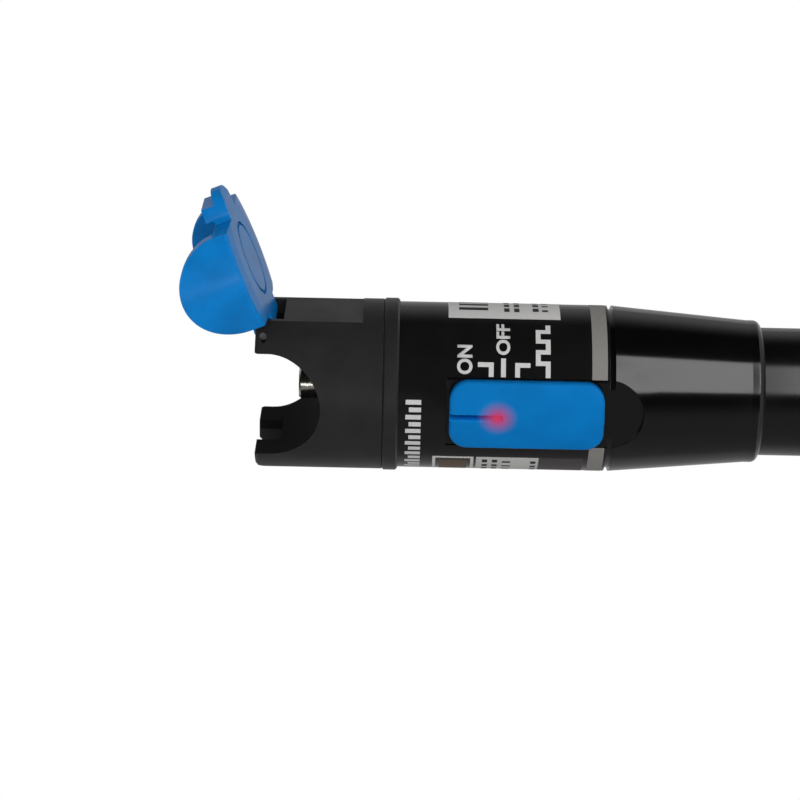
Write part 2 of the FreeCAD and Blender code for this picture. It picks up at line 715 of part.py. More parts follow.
def make_switch():
    """Slide switch on the board: its housing, open at the top, and the stem that moves in it."""
    top = "(sizes.board_top + sizes.switch_height)"
    middle = f"(({STEM_FRONT} + {STEM_REAR} - sizes.slider_travel) / 2)"
    housing = new_body("switch_housing")
    plan = new_sketch(housing, "switch_plan", "XZ_Plane", "sizes.board_top")
    half_width = "(sizes.switch_width / 2)"
    add_rectangle(plan, (f"-{half_width}", f"{middle} - sizes.switch_length / 2"),
                  (half_width, f"{middle} + sizes.switch_length / 2"))
    pad(housing, "switch_block", plan, "sizes.switch_height")
    slot = new_sketch(housing, "switch_slot_outline", "XZ_Plane", top)
    half_slot = "(sizes.stem_width / 2 + sizes.stem_gap)"
    add_rectangle(slot, (f"-{half_slot}", f"{STEM_REAR} - sizes.slider_travel - sizes.stem_gap"),
                  (half_slot, f"{STEM_FRONT} + sizes.stem_gap"))
    pocket(housing, "switch_slot", slot, "sizes.stem_root + sizes.stem_gap")
    stem_tip = "(sizes.pocket_floor + sizes.slider_lift + sizes.stem_socket)"
    stem = box_node("switch_stem", "sizes.stem_width", f"{stem_tip} - {top} + sizes.stem_root",
                    "sizes.stem_length", ("-sizes.stem_width / 2", f"-{stem_tip}", STEM_REAR))
    add_node(stem, "switch_stem")


def make_circuit_board():
    """Board across the barrel, the moulded carrier under it, the driver chip and the lamp."""
    board = box_node("circuit_board", "sizes.board_width", "sizes.board_thickness",
                     "sizes.board_length", ("-sizes.board_width / 2", "-sizes.board_top", BOARD_REAR))
    add_node(board, "circuit_board")
    carrier = new_body("board_carrier")
    rim = new_sketch(carrier, "carrier_rim", "XY_Plane", BOARD_REAR)
    add_circle(rim, ("0", "0"), "sizes.bay_radius - sizes.carrier_gap")
    pad(carrier, "carrier_round", rim, "sizes.board_length")
    seat = new_sketch(carrier, "board_seat_outline", "XY_Plane", BOARD_REAR)
    board_underside = "(sizes.board_thickness - sizes.board_top)"
    add_rectangle(seat, (f"-{CLEAR_OF_ALL}", f"-{CLEAR_OF_ALL}"), (CLEAR_OF_ALL, board_underside))
    pocket(carrier, "board_seat", seat, "sizes.board_length", reverse=True)
    channel = new_sketch(carrier, "wire_channel_outline", "XY_Plane", BOARD_REAR)
    half_channel = "(sizes.wire_channel_width / 2)"
    add_rectangle(channel, (f"-{half_channel}", f"{board_underside} - sizes.wire_channel_width"),
                  (half_channel, f"{board_underside} + sizes.wire_channel_depth"))
    pocket(carrier, "wire_channel", channel, "sizes.board_length", reverse=True)
    chip = box_node("driver_chip", "sizes.chip_width", "sizes.chip_height", "sizes.chip_length",
                    ("sizes.led_radius + sizes.led_flange + sizes.chip_gap",
                     "-sizes.board_top - sizes.chip_height", f"{LED_CENTRE} - sizes.chip_length / 2"))
    add_node(chip, "driver_chip")
    lamp = new_body("indicator_led")
    profile = revolve(lamp, "lamp_turned", [
        ("0", "0"),
        ("sizes.led_radius + sizes.led_flange", "0"),
        ("sizes.led_radius + sizes.led_flange", "sizes.led_flange_height"),
        ("sizes.led_radius", "sizes.led_flange_height"),
        ("sizes.led_radius", "sizes.led_height"),
        ("0", "sizes.led_height"),
    ])
    tip = number("sizes.led_height")
    dome = "sizes.led_radius * 0.98"
    fillet_edges(lamp, "lamp_dome", profile, dome,
                 lambda edge: edge.BoundBox.ZMin > tip - 1e-4 and edge.BoundBox.YLength > 1e-3)
    lamp.Placement = FreeCAD.Placement(
        FreeCAD.Vector(0, 0, 0), FreeCAD.Rotation(FreeCAD.Vector(1, 0, 0), 90)
    )
    bind(lamp, Placement__Base__y="-sizes.board_top", Placement__Base__z=LED_CENTRE)


def make_cell(label, foot):
    """One dry cell, its raised terminal towards the head."""
    body = new_body(label)
    can_top = f"({foot} + sizes.cell_length - sizes.nub_height)"
    revolve(body, f"{label}_turned", [
        ("0", foot),
        ("sizes.cell_radius - sizes.cell_edge", foot),
        ("sizes.cell_radius", f"{foot} + sizes.cell_edge"),
        ("sizes.cell_radius", f"{can_top} - sizes.cell_edge"),
        ("sizes.cell_radius - sizes.cell_edge", can_top),
        ("sizes.nub_radius", can_top),
        ("sizes.nub_radius", f"{foot} + sizes.cell_length"),
        ("0", f"{foot} + sizes.cell_length"),
    ])


def make_front_contact():
    """Insulating disc on the ledge behind the board, and the rivet contact through it."""
    holder = new_body("contact_holder")
    hole = "(sizes.contact_radius + sizes.seat_gap)"
    outer = "(sizes.bay_radius - sizes.carrier_gap)"
    revolve(holder, "holder_turned", [
        (hole, BAY_END),
        (outer, BAY_END),
        (outer, HOLDER_FRONT),
        (hole, HOLDER_FRONT),
    ])
    contact = new_body("front_contact")
    revolve(contact, "contact_turned", [
        ("0", CELL_TOP),
        ("sizes.contact_radius - sizes.cell_edge", CELL_TOP),
        ("sizes.contact_radius", f"{CELL_TOP} + sizes.cell_edge"),
        ("sizes.contact_radius", HOLDER_FRONT),
        ("sizes.contact_head_radius", HOLDER_FRONT),
        ("sizes.contact_head_radius", f"{HOLDER_FRONT} + sizes.contact_head"),
        ("0", f"{HOLDER_FRONT} + sizes.contact_head"),
    ])


def make_tail_cap():
    """Screwed end cap, a cup with a spigot that goes up inside the tube, and its sealing ring."""
    body = new_body("tail_cap")
    spigot_top = f"({TUBE_END} + sizes.thread_length)"
    groove_low = f"({TUBE_END} + sizes.ring_setback)"
    groove_high = f"({groove_low} + sizes.ring_groove_width)"
    revolve(body, "cap_shell_turned", [
        ("0", "0"),
        ("sizes.tube_radius - sizes.tail_edge", "0"),
        ("sizes.tube_radius", "sizes.tail_edge"),
        ("sizes.tube_radius", TUBE_END),
        ("sizes.thread_radius", TUBE_END),
        ("sizes.thread_radius", groove_low),
        ("sizes.ring_groove_radius", groove_low),
        ("sizes.ring_groove_radius", groove_high),
        ("sizes.thread_radius", groove_high),
        ("sizes.thread_radius", spigot_top),
        ("sizes.spigot_bore", spigot_top),
        ("sizes.spigot_bore", "sizes.tail_floor"),
        ("0", "sizes.tail_floor"),
    ])
    ring = doc.addObject("Part::Torus", "tail_oring")
    bind(ring, Radius1="sizes.ring_groove_radius + sizes.ring_radius", Radius2="sizes.ring_radius",
         Placement__Base__z=f"({groove_low} + {groove_high}) / 2")
    add_node(ring, "tail_oring")


def spring_shape(height):
    """Compressed coil spring of the given height on Z = 0, as eight-sided wire along a helix of chords."""
    coil_radius = number("sizes.spring_radius")
    wire_radius = number("sizes.spring_wire")
    rise = height - 2 * wire_radius
    turns = rise / number("sizes.spring_pitch")
    chord_count = round(CHORDS_A_TURN * turns)
    coil = []
    for index in range(chord_count + 1):
        share = index / chord_count
        angle = math.tau * turns * share
        coil.append(FreeCAD.Vector(coil_radius * math.cos(angle), coil_radius * math.sin(angle),
                                   wire_radius + rise * share))
    along = (coil[1] - coil[0]).normalize()
    outward = FreeCAD.Vector(along.y, -along.x, 0).normalize()
    across = along.cross(outward)
    section = []
    for side in range(WIRE_SIDES):
        angle = math.tau * (side + 0.5) / WIRE_SIDES
        spoke = outward * math.cos(angle) + across * math.sin(angle)
        section.append(coil[0] + spoke * wire_radius)
    section_wire = Part.makePolygon(section + section[:1])
    return Part.makePolygon(coil).makePipeShell([section_wire], True, True, 1)


def make_tail_contact():
    """Contact disc on the end cap's floor and the coil spring that presses on the rear cell."""
    disc = doc.addObject("Part::Cylinder", "tail_contact_disc")
    bind(disc, Radius="sizes.contact_disc_radius", Height="sizes.contact_disc",
         Placement__Base__z="sizes.tail_floor")
    add_node(disc, "tail_contact_disc")
    spring = doc.addObject("Part::Feature", "tail_spring")
    spring.Shape = spring_shape(number(f"{CELL_STACK} - sizes.contact_disc - sizes.tail_floor"))
    spring.Placement = FreeCAD.Placement(
        FreeCAD.Vector(0, 0, number("sizes.tail_floor + sizes.contact_disc")), FreeCAD.Rotation()
    )
    add_node(spring, "tail_spring")


def check_document():
    """Stops if any object failed to build or any sub-part has no sound shape."""
    doc.recompute()
    for item in doc.Objects:
        if {"Invalid", "Error"} & set(item.State):
            raise RuntimeError(f"{item.Name} did not build: {item.State}")
    for node in nodes:
        if node.Shape.isNull() or not node.Shape.isValid():
            raise RuntimeError(f"{node.Label} has no sound shape")


def write_parts():
    """One STEP file for each sub-part."""
    os.makedirs("parts", exist_ok=True)
    for node in nodes:
        node.Shape.exportStep(f"parts/{node.Label}.step")


make_head_shell()
make_head_collar()
make_hinge_pin()
make_dust_cap()
make_adapter_barrel()
make_ferrule_sleeve()
make_laser_module()
make_main_barrel()
make_wrap_label()
make_switch_slider()
make_switch()
make_circuit_board()
make_cell("battery_rear", CELL_STACK)
make_cell("battery_front", f"({CELL_STACK} + sizes.cell_length)")
make_front_contact()
make_tail_cap()
make_tail_contact()
check_document()
write_parts()
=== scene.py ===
import json
import math

import bmesh
import bpy
from mathutils import Matrix, Vector


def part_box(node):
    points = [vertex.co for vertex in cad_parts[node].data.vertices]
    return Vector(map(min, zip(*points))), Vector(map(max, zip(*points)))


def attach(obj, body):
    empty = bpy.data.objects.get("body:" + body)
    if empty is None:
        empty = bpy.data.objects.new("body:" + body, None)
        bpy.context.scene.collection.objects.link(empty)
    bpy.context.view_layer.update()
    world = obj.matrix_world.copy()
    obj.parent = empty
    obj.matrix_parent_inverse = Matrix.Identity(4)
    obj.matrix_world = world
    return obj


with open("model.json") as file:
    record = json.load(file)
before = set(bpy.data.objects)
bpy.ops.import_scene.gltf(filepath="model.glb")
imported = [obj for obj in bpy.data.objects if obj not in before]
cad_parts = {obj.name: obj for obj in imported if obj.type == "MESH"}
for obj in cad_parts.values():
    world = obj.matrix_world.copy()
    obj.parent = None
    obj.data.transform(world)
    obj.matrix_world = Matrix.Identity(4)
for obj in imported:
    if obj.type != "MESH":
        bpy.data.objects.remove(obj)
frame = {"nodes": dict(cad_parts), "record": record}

# Pen-shaped visual fault locator, in metres. The axis is Z, the connector end looks along +Z,
# the dust cap's hinge is on +X and the slide switch on -Y. On the label, "below" is the distance
# back from the head's front face and "turn" the angle from -Y towards +X, in degrees.

MM = 0.001
scene = bpy.context.scene
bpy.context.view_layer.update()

HEAD_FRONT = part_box("head_shell")[1].z
HEAD_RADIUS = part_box("head_shell")[1].y
SLOT_REACH = 9.3 * MM  # the walls of the head's slot lie nearer to its middle plane than this
LABEL_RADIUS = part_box("wrap_label")[1].x
SLIDER_TOP = -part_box("switch_slider")[0].y
LAMP_Z = (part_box("indicator_led")[0].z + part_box("indicator_led")[1].z) / 2
TAIL_TUBE_FRONT = HEAD_FRONT - 76.0 * MM


# ---------------------------------------------------------------- materials

HEAD_BLACK = (0.016, 0.0155, 0.016)
ANODISED_BLACK = (0.002, 0.002, 0.0022)
CAP_BLUE = (0.002, 0.15, 0.44)
SLIDER_BLUE = (0.002, 0.133, 0.385)
UNDER_GLOW = (0.02, 0.0, 0.02, 1.0)
TRACK_GREEN = (0.05, 0.3, 0.13, 1)
MASK_GREEN = (0.02, 0.16, 0.07, 1)
LAMP_PINK = (0.9, 0.06, 0.16, 1.0)
BEAM_RED = (1.0, 0.05, 0.08, 1.0)
UNLIT = (0, 0, 0, 1)
SLIT_HALF_WIDTH = 0.7 * MM
GLOW_RADIUS, GLOW_CORE = 2.9 * MM, 0.3 * MM


class Finish:
    """A procedural material: a Principled shader and the nodes that vary it over the surface."""

    def __init__(self, name, **shader_values):
        self.material = bpy.data.materials.new(name)
        self.material.use_nodes = True
        self.tree = self.material.node_tree
        self.shader = self.tree.nodes["Principled BSDF"]
        for socket, value in shader_values.items():
            self.shader.inputs[socket.replace("_", " ")].default_value = value
        self.place = self.node("ShaderNodeTexCoord").outputs["Object"]
        self.bumps = []

    def node(self, kind, inputs=None, **settings):
        """New node with its settings, and its inputs given as values or as sockets to link."""
        made = self.tree.nodes.new(kind)
        for setting, value in settings.items():
            setattr(made, setting, value)
        for key, value in (inputs or {}).items():
            self.feed(made.inputs[key], value)
        return made

    def feed(self, socket, value):
        if isinstance(value, bpy.types.NodeSocket):
            self.tree.links.new(value, socket)
        else:
            socket.default_value = value

    def noise(self, size, detail=3.0, stretch=(1, 1, 1)):
        """Noise from 0 to 1 with marks of about the size given, longer where stretch is low."""
        scaled = self.node("ShaderNodeVectorMath", {0: self.place, 1: stretch},
                           operation="MULTIPLY")
        return self.node("ShaderNodeTexNoise", {"Vector": scaled.outputs[0], "Scale": 1 / size,
                                                "Detail": detail}).outputs["Fac"]

    def spread(self, value, low, high, new_low=0.0, new_high=1.0):
        """Maps low..high of a value to a new range, and holds it there."""
        return self.node("ShaderNodeMapRange", {"Value": value, "From Min": low, "From Max": high,
                                                "To Min": new_low, "To Max": new_high}).outputs[0]

    def calc(self, operation, first, second=0.0):
        return self.node("ShaderNodeMath", {0: first, 1: second}, operation=operation).outputs[0]

    def blend(self, share, first, second):
        """Colour between two colours."""
        mixed = self.node("ShaderNodeMix", data_type="RGBA")
        colours = [socket for socket in mixed.inputs if socket.type == "RGBA"]
        self.feed(mixed.inputs["Factor"], share)
        self.feed(colours[0], first)
        self.feed(colours[1], second)
        return next(socket for socket in mixed.outputs if socket.type == "RGBA")

    def edges(self, radius):
        """1 where a sharp outer or inner edge is nearer than the radius, and 0 on smooth faces."""
        rounded = self.node("ShaderNodeBevel", {"Radius": radius}, samples=6).outputs[0]
        flat = self.node("ShaderNodeNewGeometry").outputs["Normal"]
        match = self.node("ShaderNodeVectorMath", {0: rounded, 1: flat}, operation="DOT_PRODUCT")
        return self.spread(match.outputs["Value"], 0.995, 0.9)

    def bump(self, height, depth):
        """Adds relief of the given depth, in metres."""
        inputs = {"Height": height, "Strength": 1.0, "Distance": depth}
        if self.bumps:
            inputs["Normal"] = self.bumps[-1]
        self.bumps.append(self.node("ShaderNodeBump", inputs).outputs[0])

    def round_edges(self, radius):
        """Shades sharp edges as if they had a small radius. Comes before any bump."""
        self.bumps.append(self.node("ShaderNodeBevel", {"Radius": radius}, samples=6).outputs[0])

    def finish(self, colour, roughness):
        """Gives the shader its colour, its roughness and the relief made so far."""
        self.feed(self.shader.inputs["Base Color"], colour)
        self.feed(self.shader.inputs["Roughness"], roughness)
        if self.bumps:
            self.feed(self.shader.inputs["Normal"], self.bumps[-1])
        return self.material


def shade(colour, factor):
    """The colour made lighter or darker, opaque."""
    return (*(min(1.0, part * factor) for part in colour[:3]), 1.0)


def distance_to(made, position, point, squash=(1, 1, 1)):
    """Distance from a point, for a position socket, with its axes scaled by squash."""
    offset = made.node("ShaderNodeVectorMath", {0: position, 1: point}, operation="SUBTRACT")
    scaled = made.node("ShaderNodeVectorMath", {0: offset.outputs[0], 1: squash},
                       operation="MULTIPLY")
    length = made.node("ShaderNodeVectorMath", {0: scaled.outputs[0]}, operation="LENGTH")
    return length.outputs["Value"]


def from_axis(made):
    """Distance from the long axis."""
    return distance_to(made, made.place, (0, 0, 0), (1, 1, 0))


def axes_of(made):
    """The position's three parts, named X, Y and Z."""
    return made.node("ShaderNodeSeparateXYZ", {0: made.place}).outputs


def off_middle(made):
    """Distance to the side of the middle plane through the slot and the slide switch."""
    return made.calc("ABSOLUTE", axes_of(made)["X"])


def in_slot(made):
    """1 on the walls inside the head's slot, and 0 on its outside: where the slot's painted shade
    goes.
    """
    within = made.spread(from_axis(made), HEAD_RADIUS - 0.15 * MM, HEAD_RADIUS - 0.25 * MM)
    sideways = made.spread(off_middle(made), SLOT_REACH + 0.2 * MM, SLOT_REACH)
    below_face = made.spread(axes_of(made)["Z"], HEAD_FRONT - 0.05 * MM, HEAD_FRONT - 0.15 * MM)
    return made.calc("MULTIPLY", made.calc("MULTIPLY", within, sideways), below_face)


def worn_colour(made, colour, worn, edge):
    """The colour with faint mottling, and scuffs of a lighter shade along sharp edges."""
    mottle = made.spread(made.noise(4 * MM), 0.35, 0.65)
    base = made.blend(mottle, shade(colour, 0.9), shade(colour, 1.08))
    scuffs = made.spread(made.noise(0.8 * MM, 5.0), 0.45, 0.62)
    wear = made.calc("MULTIPLY", made.edges(edge * 1.6), scuffs)
    return made.blend(made.calc("MULTIPLY", wear, 0.6), base, shade(colour, worn))


def uneven(made, rough):
    """The roughness a little lower and higher from place to place."""
    return made.spread(made.noise(7 * MM, 4.0), 0.3, 0.7, rough * 0.88, rough * 1.12)


def moulded(name, colour, rough, grain=0.25 * MM, relief=0.004 * MM, worn=1.6, edge=0.12 * MM,
            painted_slot_shade=False, **values):
    """Moulded plastic or lacquer, with fine grain and worn edges, and if asked painted shade and
    more roughness on the walls inside the head's slot.
    """
    made = Finish(name, **values)
    made.round_edges(edge)
    base = worn_colour(made, colour, worn, edge)
    haze = uneven(made, rough)
    if painted_slot_shade:
        slot_shade_share = in_slot(made)
        # Painted shade: the walls inside the head's slot are darkened to 0.3 of the colour, and
        # below made duller.
        base = made.blend(slot_shade_share, base, shade(colour, 0.3))
        haze = made.calc("MAXIMUM", haze, made.calc("MULTIPLY", slot_shade_share, 0.9))
    made.bump(made.noise(grain, 2.0), relief)
    return made.finish(base, haze)


def anodised(name, colour, front_rough, tail_rough, worn, edge, **values):
    """Glossy black anodising with turning marks, a little duller on the tail tube."""
    made = Finish(name, **values)
    made.round_edges(edge)
    base = worn_colour(made, colour, worn, edge)
    rough = made.spread(axes_of(made)["Z"], TAIL_TUBE_FRONT, TAIL_TUBE_FRONT + 0.4 * MM,
                        tail_rough, front_rough)
    made.bump(made.noise(0.2 * MM, 2.0, (0.05, 0.05, 1)), 0.0006 * MM)
    return made.finish(base, made.calc("MULTIPLY", rough, uneven(made, 1.0)))


def metal(name, colour, rough, brushed_along=None, tarnish=0.75):
    """Bare or plated metal with tarnish, and with marks round it or along its axis."""
    made = Finish(name, Metallic=1.0)
    made.round_edges(0.08 * MM)
    stretch = {"Z": (1, 1, 0.05), "ROUND": (0.1, 0.1, 1)}.get(brushed_along, (1, 1, 1))
    marks = made.noise(0.12 * MM, 3.0, stretch)
    clouds = made.spread(made.noise(2.5 * MM, 4.0), 0.4, 0.7)
    base = made.blend(clouds, shade(colour, 1.0), shade(colour, tarnish))
    made.bump(marks, 0.002 * MM)
    return made.finish(base, made.spread(marks, 0.3, 0.7, rough * 0.75, rough * 1.3))


def printed(name, colour):
    """Screen-printed ink on the label: slightly thin in places."""
    made = Finish(name, Specular_IOR_Level=0.2)
    thin = made.spread(made.noise(0.5 * MM, 4.0), 0.55, 0.75)
    base = made.blend(made.calc("MULTIPLY", thin, 0.35), shade(colour, 1.0), shade(colour, 0.6))
    made.bump(made.noise(0.15 * MM), 0.003 * MM)
    return made.finish(base, 0.5)


def lit_slider(name, colour, lamp_colour):
    """The slider's plastic: painted shade low on its sides, a painted lighter slit, edge scuffs
    that are also painted glints, and a painted red glow over the lamp.
    """
    made = Finish(name, Specular_IOR_Level=0.03, Emission_Strength=0.6)
    made.round_edges(0.25 * MM)
    mottle = made.spread(made.noise(5 * MM), 0.35, 0.65)
    base = made.blend(mottle, shade(colour, 0.93), shade(colour, 1.05))
    radius = from_axis(made)
    # Painted shade: the sides low down next to the label are darkened to a quarter of the colour.
    above_label = made.spread(radius, LABEL_RADIUS, LABEL_RADIUS + 0.7 * MM)
    base = made.blend(above_label, shade(colour, 0.25), base)
    # Painted light: the inside of the narrow slit is lightened to 2.1 times the colour, against
    # the shade its walls give it.
    narrow = made.spread(off_middle(made), SLIT_HALF_WIDTH + 0.1 * MM, SLIT_HALF_WIDTH)
    sunk = made.spread(radius, SLIDER_TOP - 0.2 * MM, SLIDER_TOP - 0.3 * MM)
    in_slit = made.calc("MULTIPLY", narrow, sunk)
    base = made.blend(in_slit, base, shade(colour, 2.1))
    # Lighter edge scuffs, which also serve as painted glints on the slider's corners and edges.
    scuffs = made.spread(made.noise(0.6 * MM, 5.0), 0.4, 0.6)
    wear = made.calc("MULTIPLY", made.edges(0.4 * MM), scuffs)
    base = made.blend(made.calc("MULTIPLY", wear, 0.6), base, shade(colour, 2.0))
    # Painted glow: red emission in the slider's plastic round the lamp's place, with a dark base
    # under it, for the lamp's light through the plastic.
    world_place = made.node("ShaderNodeNewGeometry").outputs["Position"]
    from_lamp = distance_to(made, world_place, (0, 0, LAMP_Z), (1, 0, 0.9))
    glow = made.calc("POWER", made.spread(from_lamp, GLOW_RADIUS, GLOW_CORE), 1.7)
    base = made.blend(glow, base, UNDER_GLOW)
    made.feed(made.shader.inputs["Emission Color"], made.blend(glow, UNLIT, lamp_colour))
    made.bump(made.noise(0.3 * MM), 0.003 * MM)
    return made.finish(base, made.spread(made.noise(3 * MM), 0.3, 0.7, 0.3, 0.42))


def lit_port(name, colour, lamp_colour, lit_radius):
    """Ceramic inside the port, with a painted red glow near the axis for the beam's light in it.
    """
    made = Finish(name, Emission_Strength=1.0)
    made.round_edges(0.06 * MM)
    # Painted glow: red emission near the axis, for the beam lighting the ceramic.
    glow = made.calc("POWER", made.spread(from_axis(made), lit_radius, 0.0), 2.0)
    made.feed(made.shader.inputs["Emission Color"], made.blend(glow, UNLIT, lamp_colour))
    clouds = made.spread(made.noise(0.8 * MM), 0.4, 0.6)
    base = made.blend(clouds, shade(colour, 0.92), shade(colour, 1.0))
    made.bump(made.noise(0.1 * MM, 2.0, (1, 1, 0.1)), 0.002 * MM)
    return made.finish(base, 0.3)


def glowing_lens(name, colour, strength):
    """A lens that the lamp or the laser lights from behind, brighter in its middle."""
    made = Finish(name, Emission_Strength=strength)
    facing = made.node("ShaderNodeLayerWeight", {"Blend": 0.4}).outputs["Facing"]
    light = made.blend(facing, shade(colour, 1.0), shade(colour, 0.45))
    made.feed(made.shader.inputs["Emission Color"], light)
    made.bump(made.noise(0.4 * MM), 0.002 * MM)
    return made.finish(shade(colour, 0.6), 0.2)


def circuit_green(name):
    """Solder mask over copper tracks."""
    made = Finish(name, Specular_IOR_Level=0.5)
    cells = made.node("ShaderNodeTexVoronoi", {"Vector": made.place, "Scale": 1 / (1.6 * MM)},
                      feature="DISTANCE_TO_EDGE", distance="MANHATTAN").outputs["Distance"]
    between_tracks = made.spread(cells, 0.1, 0.13)
    base = made.blend(between_tracks, TRACK_GREEN, MASK_GREEN)
    made.bump(between_tracks, 0.02 * MM)
    return made.finish(base, made.spread(made.noise(1 * MM), 0.3, 0.7, 0.25, 0.4))


finishes = {
    # The head's finish has painted shade on the walls inside its slot.
    "head_black": moulded("head_black", HEAD_BLACK, 0.42, relief=0.006 * MM, worn=2.5,
                          painted_slot_shade=True, Specular_IOR_Level=0.17),
    "collar_black": moulded("collar_black", HEAD_BLACK, 0.4, relief=0.006 * MM, worn=2.5,
                            Specular_IOR_Level=0.18),
    # Painted shade: the hinge pin's steel colour and its tarnish are set darker, for its end sunk
    # just below the head's cheek.
    "pin_steel": metal("pin_steel", (0.22, 0.22, 0.225), 0.4, "ROUND", tarnish=0.5),
    "cap_blue": moulded("cap_blue", CAP_BLUE, 0.24, grain=0.35 * MM, relief=0.006 * MM,
                        worn=1.8, edge=0.22 * MM, Specular_IOR_Level=0.11),
    "nickel": metal("nickel", (0.66, 0.63, 0.58), 0.22, "ROUND"),
    "sleeve_white": lit_port("sleeve_white", (0.75, 0.7, 0.66), BEAM_RED, 2.2 * MM),
    "laser_brass": metal("laser_brass", (0.62, 0.45, 0.2), 0.28, "ROUND"),
    "diode_gold": metal("diode_gold", (0.75, 0.55, 0.25), 0.22, "ROUND"),
    "lens_glass": glowing_lens("lens_glass", BEAM_RED, 4.0),
    "barrel_black": anodised("barrel_black", ANODISED_BLACK, 0.13, 0.21, worn=4.0,
                             edge=0.1 * MM, Specular_IOR_Level=0.4),
    "label_film": moulded("label_film", (0.0055, 0.005, 0.005), 0.16, grain=0.6 * MM,
                          relief=0.0012 * MM, worn=3.0, edge=0.05 * MM, Specular_IOR_Level=0.27),
    "board_green": circuit_green("board_green"),
    "carrier_grey": moulded("carrier_grey", (0.05, 0.05, 0.052), 0.5, worn=1.6),
    "chip_black": moulded("chip_black", (0.02, 0.02, 0.021), 0.45, worn=2.0, edge=0.05 * MM),
    "switch_metal": metal("switch_metal", (0.55, 0.55, 0.56), 0.3, "Z"),
    "stem_black": moulded("stem_black", (0.02, 0.02, 0.02), 0.45, worn=2.0),
    "slider_blue": lit_slider("slider_blue", SLIDER_BLUE, LAMP_PINK),
    "led_red": glowing_lens("led_red", LAMP_PINK, 1.6),
    "contact_brass": metal("contact_brass", (0.72, 0.55, 0.26), 0.25, "ROUND"),
    "holder_white": moulded("holder_white", (0.62, 0.61, 0.58), 0.45, worn=1.1),
    "cell_jacket": metal("cell_jacket", (0.3, 0.31, 0.33), 0.35, "Z"),
    "contact_steel": metal("contact_steel", (0.6, 0.6, 0.61), 0.25, "ROUND"),
    "spring_steel": metal("spring_steel", (0.55, 0.55, 0.56), 0.25),
    "tail_black": moulded("tail_black", ANODISED_BLACK, 0.2, grain=0.5 * MM, relief=0.0008 * MM,
                          worn=8.0, edge=0.12 * MM, Specular_IOR_Level=0.4),
    "ring_rubber": moulded("ring_rubber", (0.012, 0.012, 0.012), 0.6, worn=1.5, edge=0.05 * MM),
}

ink = {
    "grey": printed("ink_grey", (0.175, 0.168, 0.158)),
    "white": printed("ink_white", (0.46, 0.455, 0.45)),
    "pale": printed("ink_pale", (0.4, 0.4, 0.385)),
    "dark": printed("ink_dark", (0.012, 0.012, 0.012)),
    "tan": printed("ink_tan", (0.08, 0.052, 0.03)),
    "rose": printed("ink_rose", (0.045, 0.038, 0.04)),
}

slot_of = {part["node"]: part["material_slot"] for part in frame["record"]["subparts"]}
for node, piece in frame["nodes"].items():
    piece.data.materials.clear()
    piece.data.materials.append(finishes[slot_of[node]])


# ---------------------------------------------------------------- label print

INK_LIFT = 0.015 * MM
INK_DEPTH = 0.05 * MM
LETTER_OFFSET = 0.035  # makes the letters bolder
LINE = 0.72 * MM
BEND_STEP = 0.4 * MM
POCKET_HALF_WIDTH = 5.4 * MM
POCKET_TURN = math.degrees(math.asin(POCKET_HALF_WIDTH / LABEL_RADIUS))
LINE_TURN = math.degrees(LINE / LABEL_RADIUS)
MARK_ROWS = 5
BAR_COUNT = 20


def wrap_on_label(flat, name, colour, layer=1):
    """Adds a flat mesh as print, its x bent round the label from -Y to +X and its y along Z."""
    low = min(vert.co.x for vert in flat.verts)
    high = max(vert.co.x for vert in flat.verts)
    cut = low + BEND_STEP
    while cut < high:
        everything = flat.verts[:] + flat.edges[:] + flat.faces[:]
        bmesh.ops.bisect_plane(flat, geom=everything, plane_co=(cut, 0, 0), plane_no=(1, 0, 0))
        cut += BEND_STEP
    radius = LABEL_RADIUS + INK_LIFT * layer
    for vert in flat.verts:
        turn = vert.co.x / LABEL_RADIUS
        vert.co = (radius * math.sin(turn), -radius * math.cos(turn), vert.co.y)
    mesh = bpy.data.meshes.new(name)
    flat.to_mesh(mesh)
    flat.free()
    piece = bpy.data.objects.new(name, mesh)
    scene.collection.objects.link(piece)
    mesh.materials.append(ink[colour])
    thick = piece.modifiers.new("ink", "SOLIDIFY")
    thick.thickness = INK_DEPTH
    thick.offset = -1.0
    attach(piece, "barrel")


def round_label(turn_degrees):
    """The way round the label's outside for a turn."""
    return math.radians(turn_degrees) * LABEL_RADIUS


def add_rectangle(flat, turn_low, turn_high, below_near, below_far):
    """Rectangle between two turns, in degrees, and two distances below the head's front."""
    left, right = round_label(turn_low), round_label(turn_high)
    top, bottom = HEAD_FRONT - below_near, HEAD_FRONT - below_far
    flat.faces.new([flat.verts.new(corner) for corner in
                    ((left, bottom, 0), (right, bottom, 0), (right, top, 0), (left, top, 0))])


def print_rectangles(name, colour, rectangles, layer=1):
    """Rectangles printed as one piece. A higher layer lies on top of a lower one."""
    flat = bmesh.new()
    for rectangle in rectangles:
        add_rectangle(flat, *rectangle)
    wrap_on_label(flat, name, colour, layer)


def print_word(name, word, colour, turn_low, turn_high, below_near, below_far):
    """A word that reads round the label, its letters' tops towards the head, fitted to an area."""
    curve = bpy.data.curves.new(name, "FONT")
    curve.body = word
    curve.offset = LETTER_OFFSET
    lettering = bpy.data.objects.new(name, curve)
    scene.collection.objects.link(lettering)
    bpy.context.view_layer.update()
    shaped = lettering.evaluated_get(bpy.context.evaluated_depsgraph_get())
    mesh = bpy.data.meshes.new_from_object(shaped)
    bpy.data.objects.remove(lettering)
    flat = bmesh.new()
    flat.from_mesh(mesh)
    xs = [vert.co.x for vert in flat.verts]
    ys = [vert.co.y for vert in flat.verts]
    left, right = round_label(turn_low), round_label(turn_high)
    bottom, top = HEAD_FRONT - below_far, HEAD_FRONT - below_near
    for vert in flat.verts:
        across = (vert.co.x - min(xs)) / (max(xs) - min(xs))
        upward = (vert.co.y - min(ys)) / (max(ys) - min(ys))
        vert.co = (left + across * (right - left), bottom + upward * (top - bottom), 0)
    wrap_on_label(flat, name, colour)


